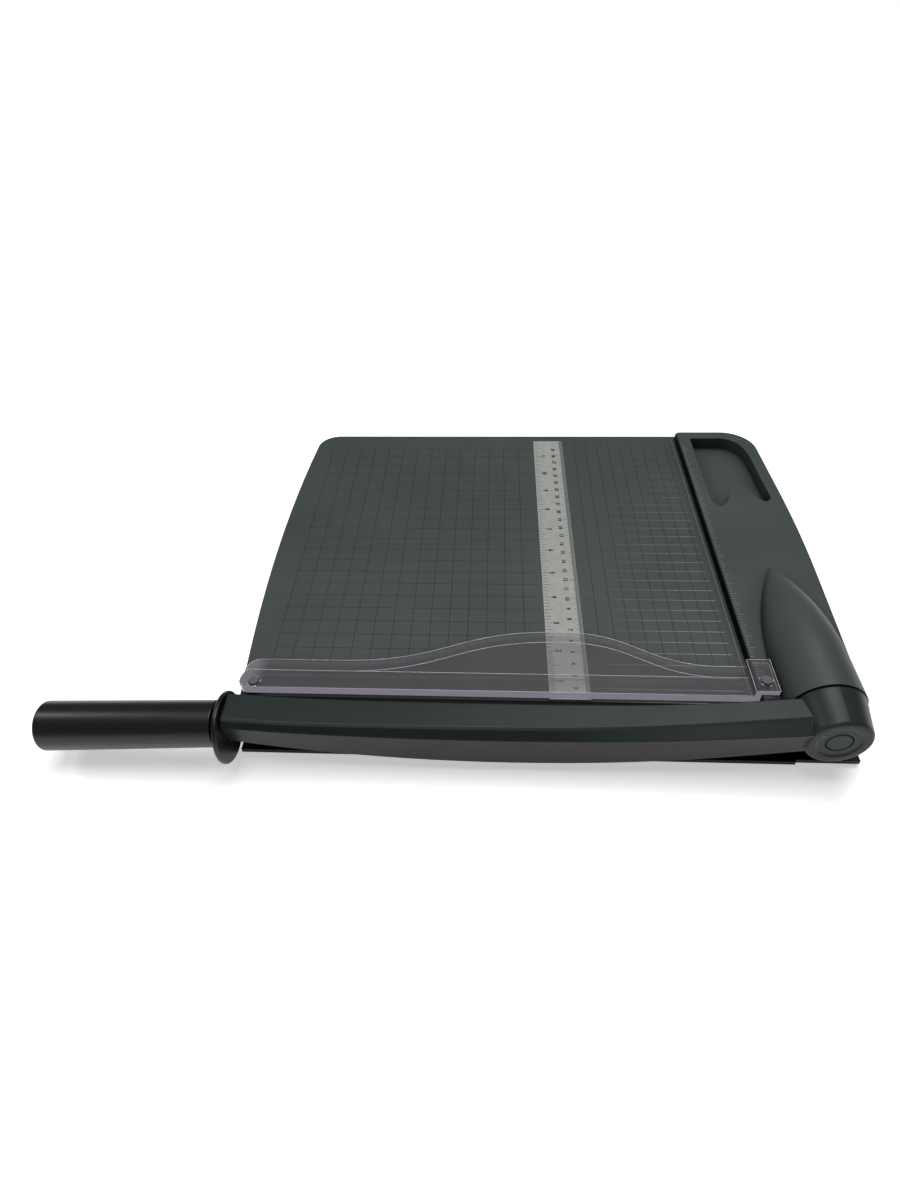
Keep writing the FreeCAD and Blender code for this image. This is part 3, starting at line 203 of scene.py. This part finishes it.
def moulded(name, colour, rough=(0.35, 0.5), grain=900.0, depth=0.04 * MM, vary=0.12,
            specular=0.5, metallic=0.0, edge=0.0, grime=None, side=None):
    """Moulded or painted surface: fine grain, slow colour drift and uneven gloss."""
    made = Nodes(name)
    fine = made.noise(grain, 2.0)
    drift = made.ramp(made.noise(DRIFT_NOISE, 4.0), [(0.25, scaled(colour, 1 - vary)),
                                                     (0.75, scaled(colour, 1 + vary))])
    speck = made.ramp(fine, [(0.3, grey(0.7)), (0.7, grey(1.25))])
    paint = made.multiply(drift, speck, SPECK_SHARE)
    # painted shade: darker in corners and hollows
    if grime:
        paint = made.grime(paint, *grime)
    # painted shade: upright faces darker than the top faces
    if side:
        paint = made.side_tint(paint, *side)
    made.surface({
        "Base Color": paint,
        "Roughness": made.spread(made.noise(BLOTCH_NOISE, 3.0), *rough),
        "Normal": made.bump(fine, GRAIN_STRENGTH, depth, edge),
        "Specular IOR Level": specular,
        "Metallic": metallic,
    })
    return made.material


def brushed(name, colour, rough, stretch):
    """Ground steel: fine lines along one direction."""
    made = Nodes(name)
    lines = made.noise(STEEL_NOISE, 3.0, stretch)
    made.surface({
        "Base Color": made.ramp(lines, [(0.3, scaled(colour, 0.8)), (0.7, colour)]),
        "Roughness": made.spread(lines, *rough),
        "Normal": made.bump(lines, STEEL_STRENGTH, 0.02 * MM),
        "Metallic": 1.0,
    })
    return made.material


def clear_sheet(name, tint, lip, faint, edge, thick_end, lip_x):
    """Thin clear moulding, more solid at its rims, its front lip and its end by thick_end. Its front lip also
    takes the lip colour and glows in it, a painted highlight.
    """
    made = Nodes(name)
    place = made.split(made.place)
    haze = made.noise(HAZE_NOISE, 4.0)
    front = made.share(made.facing()["X"], 0.6, 0.9)
    outer = made.share(place["X"], lip_x - 2 * MM, lip_x - 1 * MM)
    fore = made.combine("MULTIPLY", front, outer)
    heavy = made.share(place["Y"], thick_end, thick_end - 8 * MM)
    solid = made.combine("MAXIMUM", fore, heavy)
    rim = made.add("ShaderNodeLayerWeight", {"Blend": 0.35})
    thin = made.spread(rim.outputs["Facing"], faint, edge)
    body = made.ramp(haze, [(0.3, scaled(tint, 0.92)), (0.7, tint)])
    mix = made.add("ShaderNodeMix", {"Factor": fore, "A": body, "B": lip}, data_type="RGBA")
    made.surface({
        "Base Color": mix.outputs["Result"],
        # painted highlight: the front lip glows in its lighter colour
        "Emission Color": lip,
        "Emission Strength": made.spread(fore, 0.0, 0.55),
        "Roughness": made.spread(haze, 0.12, 0.2),
        "Alpha": made.combine("MULTIPLY_ADD", solid, 0.65, thin),
    })
    return made.material


def lined(name, dark, pale):
    """Moulded grid groove: dark, catching the light towards the stop and the cut."""
    made = Nodes(name)
    place = made.split(made.place)
    far, near = LIT_BEFORE_STOP
    both = made.combine("MULTIPLY", made.share(place["Y"], stop_y - far, stop_y - near),
                        made.share(place["X"], *LIT_X))
    uneven = made.combine("MULTIPLY", both,
                          made.spread(made.noise(PATCH_NOISE, 2.0), 0.5, 1.4))
    made.surface({"Base Color": made.ramp(uneven, [(0.0, dark), (1.0, pale)]),
                  "Roughness": 0.5})
    return made.material


# Finish of each material slot of the record.
materials = {
    "base_plastic": moulded("base_plastic", srgb(61, 68, 66), (0.42, 0.55), 1400.0,
                            # painted shade in the hollows of the base, such as the walls of its pocket
                            specular=0.3, edge=0.5 * MM, grime=(1.0, 15 * MM)),
    "cover_plastic": moulded("cover_plastic", srgb(16, 16, 16), (0.5, 0.65), specular=0.25),
    "arm_plastic": moulded("arm_plastic", srgb(38, 45, 45), (0.3, 0.42), 1800.0, 0.02 * MM,
                           # painted shade in the arm's hollows and where it lies close to other surfaces
                           specular=0.16, edge=0.9 * MM, grime=(0.9, 50 * MM),
                           # painted shade on the arm's upright faces short of the hub, in this olive colour
                           side=((0.36, 0.36, 0.24, 1.0), pivot.y - 15 * MM)),
    "guard_disc_plastic": moulded("guard_disc_plastic", srgb(20, 22, 22), (0.28, 0.4),
                                  specular=0.4, edge=0.6 * MM),
    "grip_rubber": moulded("grip_rubber", srgb(22, 26, 25), (0.3, 0.38), 1500.0,
                           # painted shade on the grip where other surfaces lie close
                           specular=0.35, grime=(0.8, 60 * MM)),
    "foot_rubber": moulded("foot_rubber", srgb(30, 30, 30), (0.7, 0.85), 600.0),
    "ruler_print": moulded("ruler_print", srgb(150, 152, 148), (0.3, 0.4), 300.0,
                           0.01 * MM, 0.03),
    # the second colour is the painted highlight of the front lip
    "clear_plastic": clear_sheet("clear_plastic", srgb(122, 119, 124), srgb(160, 155, 170),
                                 0.12, 0.5, guard_low.y + 14 * MM, guard_high.x),
    "blade_steel": brushed("blade_steel", srgb(178, 180, 182), (0.2, 0.34), (1, 0.02, 1)),
    "zinc_steel": moulded("zinc_steel", srgb(170, 172, 168), (0.28, 0.42), 500.0,
                          metallic=1.0),
    "bush_brass": moulded("bush_brass", srgb(186, 150, 82), (0.25, 0.4), 500.0,
                          metallic=1.0),
}

# Finishes of the marks and of single pieces.
ink = moulded("ruler_ink", srgb(12, 12, 13), (0.4, 0.5), 500.0, 0.01 * MM)
ruler_shade = moulded("ruler_shade", srgb(112, 115, 112), (0.35, 0.45), 300.0, 0.01 * MM, 0.04)
tick_pale = moulded("tick_pale", srgb(112, 120, 118), (0.5, 0.6))
grid_dark = moulded("grid_dark", srgb(38, 44, 43), (0.6, 0.7), specular=0.2)
grid_lit = lined("grid_lit", srgb(38, 44, 43), srgb(150, 156, 154))
# black of painted shade: on the face of the paper stop and in the gap around the hub cap
shade_black = moulded("shade_black", srgb(6, 7, 7), (0.7, 0.8), specular=0.1)
# dark colour of the painted shade along the cut
cut_shade_black = moulded("cut_shade_black", srgb(12, 13, 13), (0.5, 0.62), specular=0.15)
dark_steel = moulded("dark_steel", srgb(30, 30, 31), (0.35, 0.5), 500.0, metallic=0.5)
post_clear = moulded("post_clear", srgb(92, 89, 95), (0.5, 0.6), 260.0, 0.1 * MM, specular=0.2)
# bright colour of the painted highlights on the clear guard
glint = moulded("guard_glint", srgb(206, 204, 212), (0.15, 0.25), 400.0, 0.01 * MM, 0.05)

slot_of_node = {row["node"]: row["material_slot"] for row in frame["record"]["subparts"]}
for name, obj in nodes.items():
    slot = slot_of_node.get(name)
    if slot in materials:
        obj.data.materials.clear()
        obj.data.materials.append(materials[slot])
for name in posts:
    nodes[name].data.materials[0] = post_clear
nodes["grip_core"].data.materials[0] = dark_steel


# ---------------------------------------------------------------- mesh helpers
def mesh_piece(name, material, body, build):
    """New object whose mesh is filled by build(bmesh)."""
    mesh = bpy.data.meshes.new(name)
    work = bmesh.new()
    build(work)
    bmesh.ops.recalc_face_normals(work, faces=work.faces)
    work.to_mesh(mesh)
    work.free()
    obj = bpy.data.objects.new(name, mesh)
    scene.collection.objects.link(obj)
    mesh.materials.append(material)
    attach(obj, body)
    return obj


def flat(x, y):
    """A place on the ground plan."""
    return Vector((x, y, 0))


def around(count):
    """The angles of a full turn in equal steps."""
    return [2 * math.pi * k / count for k in range(count)]


def add_skin(work, rings):
    """Faces between each ring of vertices and the next."""
    for this, after in zip(rings, rings[1:]):
        count = len(this)
        for k in range(count):
            far = (k + 1) % count
            work.faces.new([this[k], this[far], after[far], after[k]])


def add_tube(work, rings):
    """Skin over the rings, with both ends closed."""
    add_skin(work, rings)
    work.faces.new(list(reversed(rings[0])))
    work.faces.new(rings[-1])


def add_bar(work, low, high):
    """A thin bar between two corners, chamfered towards its top and open below."""
    (x0, y0, z0), (x1, y1, z1) = low, high
    inset = min(x1 - x0, y1 - y0) * 0.2
    ring = [(x0, y0, z0), (x1, y0, z0), (x1, y1, z0), (x0, y1, z0)]
    top = [(x0 + inset, y0 + inset, z1), (x1 - inset, y0 + inset, z1),
           (x1 - inset, y1 - inset, z1), (x0 + inset, y1 - inset, z1)]
    lower = [work.verts.new(point) for point in ring]
    upper = [work.verts.new(point) for point in top]
    work.faces.new(upper)
    add_skin(work, [lower, upper])


MARK_HEIGHT = 0.05 * MM


def add_line(work, start, end, width, z):
    """A mark along X or Y that stands on level z."""
    low = flat(min(start.x, end.x), min(start.y, end.y))
    high = flat(max(start.x, end.x), max(start.y, end.y))
    if high.x - low.x < high.y - low.y:
        low.x -= width / 2
        high.x += width / 2
    else:
        low.y -= width / 2
        high.y += width / 2
    add_bar(work, (low.x, low.y, z), (high.x, high.y, z + MARK_HEIGHT))


def add_rod(work, start, end, radius):
    """Six-sided rod between two points."""
    along = (end - start).normalized()
    side = along.orthogonal().normalized()
    over = along.cross(side)
    add_tube(work, [[work.verts.new(centre + (side * math.cos(turn)
                                              + over * math.sin(turn)) * radius)
                     for turn in around(6)] for centre in (start, end)])


def top_tree(*names):
    """Ray-cast tree over the CAD nodes that carry marks."""
    verts, faces = [], []
    for name in names:
        mesh = nodes[name].data
        start = len(verts)
        verts.extend(v.co.copy() for v in mesh.vertices)
        faces.extend([start + k for k in face.vertices] for face in mesh.polygons)
    return BVHTree.FromPolygons(verts, faces)


table_top = top_tree("base_shell", "head_ledge", "ruler_strip", "fixed_blade")
LOOK_FROM = 50 * MM


def on_level(x, y, z, tolerance=0.2 * MM):
    """Whether the topmost surface at a place is at level z."""
    hit = table_top.ray_cast(Vector((x, y, z + LOOK_FROM)), DOWN)
    return hit[0] is not None and abs(hit[0].z - z) < tolerance


RUN_STEP = 1 * MM
RUN_MARGIN = 1 * MM


def runs_on_table(start, end):
    """Stretches of a straight line that lie on the flat table top."""
    steps = max(2, round((end - start).length / RUN_STEP))
    points = [start.lerp(end, k / steps) for k in range(steps + 1)]
    level = [on_level(point.x, point.y, table_z) for point in points]
    runs = []
    first = None
    for k, good in enumerate(level + [False]):
        if good and first is None:
            first = k
        if not good and first is not None:
            if (k - first) * RUN_STEP > RUN_MARGIN * 3:
                runs.append((first, k - 1))
            first = None
    inward = (end - start).normalized() * RUN_MARGIN
    return [(points[a] + inward, points[b] - inward) for a, b in runs]


# ---------------------------------------------------------------- grid on the table
GROOVE_WIDTH = 0.4 * MM
GRID_INCH = 0.5 * INCH
GRID_METRIC = 10 * MM
INCH_START = 13.8 * MM          # from the ruler's edge to the first row of the inch grid
METRIC_START = 10 * MM          # the same for the metric grid
STRIP_WIDTH = 9.4 * MM          # dark strip along the cut
strip_x = cut_x - STRIP_WIDTH

left_rows = [ruler_low.y - INCH_START - GRID_INCH * k for k in range(14)]
left_columns = [cut_x - GRID_INCH * k for k in range(4, 24)]
right_rows = [ruler_high.y + METRIC_START + GRID_METRIC * k for k in range(9)]
right_columns = [cut_x - GRID_METRIC * k for k in range(1, 31)]


def add_groove(work, start, end):
    for near, far in runs_on_table(start, end):
        add_line(work, near, far, GROOVE_WIDTH, table_z)


def build_rows(work):
    for rows, columns in ((left_rows, left_columns), (right_rows, right_columns)):
        for y in rows:
            add_groove(work, flat(min(columns), y), flat(strip_x - 1 * MM, y))


def add_columns(work, columns, near, far):
    for x in columns:
        if x <= strip_x:
            add_groove(work, flat(x, near), flat(x, far))


def build_left_columns(work):
    add_columns(work, left_columns, min(left_rows) - 2 * MM, ruler_low.y - 1 * MM)


def build_right_columns(work):
    add_columns(work, right_columns, ruler_high.y + 1 * MM, max(right_rows) + 4 * MM)


mesh_piece("grid_rows", grid_dark, "base", build_rows)
mesh_piece("grid_columns_left", grid_dark, "base", build_left_columns)
mesh_piece("grid_columns_right", grid_lit, "base", build_right_columns)


# ---------------------------------------------------------------- paper stop and cutting strip
BEAD_PITCH = 1.6 * MM
BEAD_LENGTH = 1.1 * MM
LEDGE_PITCH = 2.5 * MM


def build_stop_wall(work):
    """Painted shade: a thin black sheet on the face of the paper stop, from the back of the ledge to the guard."""
    add_bar(work, (ledge_low.x + 2 * MM, stop_y - 0.12 * MM, table_z),
            (ledge_high.x - 1 * MM, stop_y, ledge_high.z - 0.3 * MM))


def build_stop_line(work):
    """Fine beaded line on the table just in front of the paper stop."""
    y = stop_y - 2.8 * MM
    for k in range(2, round((strip_x - ledge_low.x) / BEAD_PITCH)):
        x = strip_x - BEAD_PITCH * k
        add_line(work, flat(x, y), flat(x + BEAD_LENGTH, y), 0.45 * MM, table_z)


def build_cutting_strip(work):
    """Painted shade: a thin dark sheet on the table along the cut, for the shadow there."""
    add_bar(work, (strip_x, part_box("fixed_blade")[0].y, table_z),
            (cut_x - 0.5 * MM, stop_y - 0.3 * MM, table_z + 0.15 * MM))


def build_ledge_ticks(work):
    """Moulded scale along the ledge, with every fourth tick longer."""
    near = stop_y + 1 * MM
    for k in range(4, round((cut_x - ledge_low.x - 20 * MM) / LEDGE_PITCH)):
        x = cut_x - LEDGE_PITCH * k
        reach = 5.0 * MM if k % 4 == 0 else 2.8 * MM
        if on_level(x, stop_y + 4 * MM, ledge_high.z, 0.5 * MM):
            add_line(work, flat(x, near), flat(x, near + reach), 0.34 * MM, ledge_high.z)


mesh_piece("stop_wall_shade", shade_black, "base", build_stop_wall)
mesh_piece("stop_line", tick_pale, "base", build_stop_line)
mesh_piece("cut_shade_strip", cut_shade_black, "base", build_cutting_strip)
mesh_piece("ledge_ticks", tick_pale, "base", build_ledge_ticks)


# ---------------------------------------------------------------- ruler
RULER_EDGE = 0.6 * MM
# How far a tick reaches: the first pair whose count divides the tick's own number.
INCH_REACHES = ((16, 6.4 * MM), (8, 5.2 * MM), (4, 4.0 * MM), (1, 2.8 * MM))
METRIC_REACHES = ((10, 4.6 * MM), (5, 3.5 * MM), (1, 2.2 * MM))
NUMBER_WEIGHT = 0.045


def add_scale(work, pitch, reaches, width, edge_y, inward, shown):
    """Ticks from one long edge of the ruler inwards, where shown(number) is true."""
    for k in range(1, int((cut_x - ruler_low.x) / pitch) + 1):
        x = cut_x - pitch * k
        if ruler_low.x + 1 * MM < x < ruler_high.x - 1 * MM and shown(k):
            reach = next(reach for count, reach in reaches if k % count == 0)
            add_line(work, flat(x, edge_y), flat(x, edge_y + inward * reach), width,
                     ruler_high.z)


def build_ruler_ticks(work):
    """Inches with eighths, and sixteenths over the first two, against millimetres."""
    add_scale(work, INCH / 16, INCH_REACHES, 0.4 * MM, ruler_low.y + RULER_EDGE, 1,
              lambda k: k % 2 == 0 or k < 32)
    add_scale(work, 1 * MM, METRIC_REACHES, 0.26 * MM, ruler_high.y - RULER_EDGE, -1,
              lambda k: True)


def text_mesh(word, size):
    """Flat mesh of a number in Blender's own font, centred on the origin."""
    curve = bpy.data.curves.new("number", "FONT")
    curve.body = word
    curve.size = size
    curve.align_x = "CENTER"
    curve.align_y = "CENTER"
    curve.extrude = MARK_HEIGHT / 2
    curve.offset = size * NUMBER_WEIGHT
    curve.resolution_u = 3
    holder = bpy.data.objects.new("number", curve)
    scene.collection.objects.link(holder)
    bpy.context.view_layer.update()
    made = bpy.data.meshes.new_from_object(holder)
    bpy.data.objects.remove(holder)
    bpy.data.curves.remove(curve)
    return made


def build_numbers(work):
    """Inch and centimetre numbers, counted from the cut."""
    inch_y = ruler_low.y + 7.8 * MM
    metric_y = ruler_high.y - 8.8 * MM
    places = [(str(k), 4.6 * MM, cut_x - INCH * k, inch_y) for k in range(1, 12)]
    places += [(str(k), 4.0 * MM, cut_x - 10 * MM * k, metric_y) for k in range(1, 30)]
    for word, size, x, y in places:
        if not ruler_low.x + 3 * MM < x < ruler_high.x - 2 * MM:
            continue
        made = text_mesh(word, size)
        made.transform(Matrix.Translation((x, y, ruler_high.z + MARK_HEIGHT / 2)))
        work.from_mesh(made)
        bpy.data.meshes.remove(made)


def build_ruler_band(work):
    """Greyer band along the metric edge of the ruler."""
    add_bar(work, (ruler_low.x + 0.2 * MM, ruler_high.y - 2.6 * MM, ruler_high.z),
            (ruler_high.x - 0.2 * MM, ruler_high.y - 0.1 * MM, ruler_high.z + 0.02 * MM))


mesh_piece("ruler_ticks", ink, "base", build_ruler_ticks)
mesh_piece("ruler_numbers", ink, "base", build_numbers)
mesh_piece("ruler_band", ruler_shade, "base", build_ruler_band)


# ---------------------------------------------------------------- guard
RIM_RADIUS = 0.13 * MM
RIM_ANGLE = math.radians(35)
WIRE_RADIUS = 0.17 * MM
SPRING_TURNS, SPRING_STEPS, WIRE_SIDES = 3.5, 24, 6
BOSS_DASHES = 5


def build_guard_rims(work):
    """Painted highlights: thin bright rods where the clear guard turns a corner."""
    source = bmesh.new()
    source.from_mesh(nodes["clear_guard"].data)
    bmesh.ops.remove_doubles(source, verts=source.verts, dist=1e-6)
    bmesh.ops.recalc_face_normals(source, faces=source.faces)
    lowest = table_z + 3.5 * MM
    for edge in source.edges:
        if len(edge.link_faces) != 2 or edge.calc_face_angle_signed() < RIM_ANGLE:
            continue
        start, end = (vertex.co.copy() for vertex in edge.verts)
        if min(start.z, end.z) >= lowest and (end - start).length >= 1e-5:
            add_rod(work, start, end, RIM_RADIUS)
    source.free()


def add_press_spring(side):
    """Coil spring below one ear of the guard."""
    node = "guard_spring_" + side
    low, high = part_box(node)
    centre = (low + high) / 2
    radius = (high.x - low.x) / 2 - WIRE_RADIUS
    height = high.z - low.z - 2 * WIRE_RADIUS
    count = round(SPRING_TURNS * SPRING_STEPS)

    def build(work):
        rings = []
        for k in range(count + 1):
            turn = 2 * math.pi * k / SPRING_STEPS
            out = flat(math.cos(turn), math.sin(turn))
            middle = Vector((centre.x, centre.y, low.z + WIRE_RADIUS + height * k / count))
            rings.append([work.verts.new(middle + out * (radius + WIRE_RADIUS * math.cos(a))
                                         + Vector((0, 0, WIRE_RADIUS * math.sin(a))))
                          for a in around(WIRE_SIDES)])
        add_tube(work, rings)

    coil = mesh_piece("press_spring_" + side, post_clear, "base", build)
    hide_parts(node)
    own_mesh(coil)


def build_boss_glints(work):
    """Painted highlights: small bright dashes around the two guard posts, for the glints of the moulded bosses
    there.
    """
    for name in posts:
        low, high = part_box(name)
        centre = (low + high) / 2
        ring = (high.x - low.x) / 2 + 0.7 * MM
        z = high.z - 1.5 * MM
        for k, turn in enumerate(around(BOSS_DASHES)):
            spread = 0.16 + 0.06 * (k % 3)
            start, end = (Vector((centre.x + ring * math.cos(0.4 + turn + step),
                                  centre.y + ring * math.sin(0.4 + turn + step), z))
                          for step in (-spread, spread))
            add_rod(work, start, end, 0.22 * MM)


mesh_piece("guard_edge_glints", glint, "guard", build_guard_rims)
add_press_spring("left")
add_press_spring("right")


# ---------------------------------------------------------------- hub
def build_cap_groove(work):
    """Painted shade: a dark ring in the gap around the cap in the dished face of the hub."""
    low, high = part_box("hub_cap")
    centre = (low + high) / 2
    radius = (high.y - low.y) / 2
    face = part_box("arm_lever")[1].x
    section = ((radius - 0.25 * MM, high.x - 0.1 * MM),
               (radius + 0.1 * MM, high.x + 0.06 * MM),
               (radius + 0.75 * MM, high.x + 0.06 * MM),
               (radius + 0.95 * MM, high.x - 0.1 * MM))
    rings = [[work.verts.new((min(x, face), centre.y + r * math.cos(turn),
                              centre.z + r * math.sin(turn))) for r, x in section]
             for turn in around(64)]
    add_skin(work, rings + rings[:1])


mesh_piece("hub_cap_groove", shade_black, "arm", build_cap_groove)
mesh_piece("boss_glints", glint, "guard", build_boss_glints)


# ---------------------------------------------------------------- surroundings
FLOOR_REACH = 6.0
WORLD_STRENGTH = 0.06
CAMERA_PLACE = (0.41325, 0.0201, 0.39058)
CAMERA_ANGLES = (4.211, 43.910, -2.228)     # yaw, pitch and roll in degrees
CAMERA_LENS, CAMERA_SENSOR = 22.087, 36
# name, place, target, width and height, power
LIGHTS = (("key", (-0.1, 0.08, 1.5), (0, 0, 0), (0.6, 1.6), 24),
          ("grip_side", (-0.15, -1.3, 1.2), (0.15, -0.25, 0), (0.25, 0.5), 5))


def add_floor():
    """Plain pale floor that stays white into the distance."""
    made = Nodes("floor_white")
    length = made.add("ShaderNodeVectorMath", {0: made.place}, operation="LENGTH")
    glow = made.add("ShaderNodeMapRange", {"Value": length.outputs["Value"],
                                           "From Min": 0.4, "From Max": 2.2,
                                           "To Min": 0.5, "To Max": 0.95})
    made.surface({
        "Base Color": made.ramp(made.noise(FLOOR_NOISE, 2.0),
                                [(0.0, grey(0.84)), (1.0, grey(0.87))]),
        "Roughness": 0.9,
        "Specular IOR Level": 0.1,
        "Emission Color": grey(1),
        "Emission Strength": glow.outputs["Result"],
    })
    mesh = bpy.data.meshes.new("floor")
    corners = [(x * FLOOR_REACH, y * FLOOR_REACH, 0)
               for x, y in ((-1, -1), (1, -1), (1, 1), (-1, 1))]
    mesh.from_pydata(corners, [], [(0, 1, 2, 3)])
    floor = bpy.data.objects.new("floor", mesh)
    scene.collection.objects.link(floor)
    mesh.materials.append(made.material)


def add_light(name, place, target, size, power):
    light = bpy.data.lights.new(name, "AREA")
    light.shape = "RECTANGLE"
    light.size, light.size_y = size
    light.energy = power
    holder = bpy.data.objects.new(name, light)
    holder.location = place
    aim = Vector(target) - Vector(place)
    holder.rotation_euler = aim.to_track_quat("-Z", "Y").to_euler()
    scene.collection.objects.link(holder)


def add_world():
    world = bpy.data.worlds.new("studio")
    world.use_nodes = True
    background = world.node_tree.nodes["Background"]
    background.inputs["Color"].default_value = grey(1)
    background.inputs["Strength"].default_value = WORLD_STRENGTH
    scene.world = world


def add_camera():
    yaw, pitch, roll = (math.radians(angle) for angle in CAMERA_ANGLES)
    forward = Vector((-math.cos(pitch) * math.cos(yaw), -math.cos(pitch) * math.sin(yaw),
                      -math.sin(pitch)))
    level = forward.cross(-DOWN).normalized()
    over = level.cross(forward)
    right = level * math.cos(roll) + over * math.sin(roll)
    up = over * math.cos(roll) - level * math.sin(roll)
    camera = bpy.data.cameras.new("camera")
    camera.lens = CAMERA_LENS
    camera.sensor_width = CAMERA_SENSOR
    camera.clip_start = 0.01
    holder = bpy.data.objects.new("camera", camera)
    axes = Matrix((right, up, -forward)).transposed().to_4x4()
    holder.matrix_world = Matrix.Translation(CAMERA_PLACE) @ axes
    scene.collection.objects.link(holder)
    scene.camera = holder


add_floor()
add_world()
for row in LIGHTS:
    add_light(*row)
add_camera()
scene.view_settings.view_transform = "Standard"
scene.view_settings.look = "None"
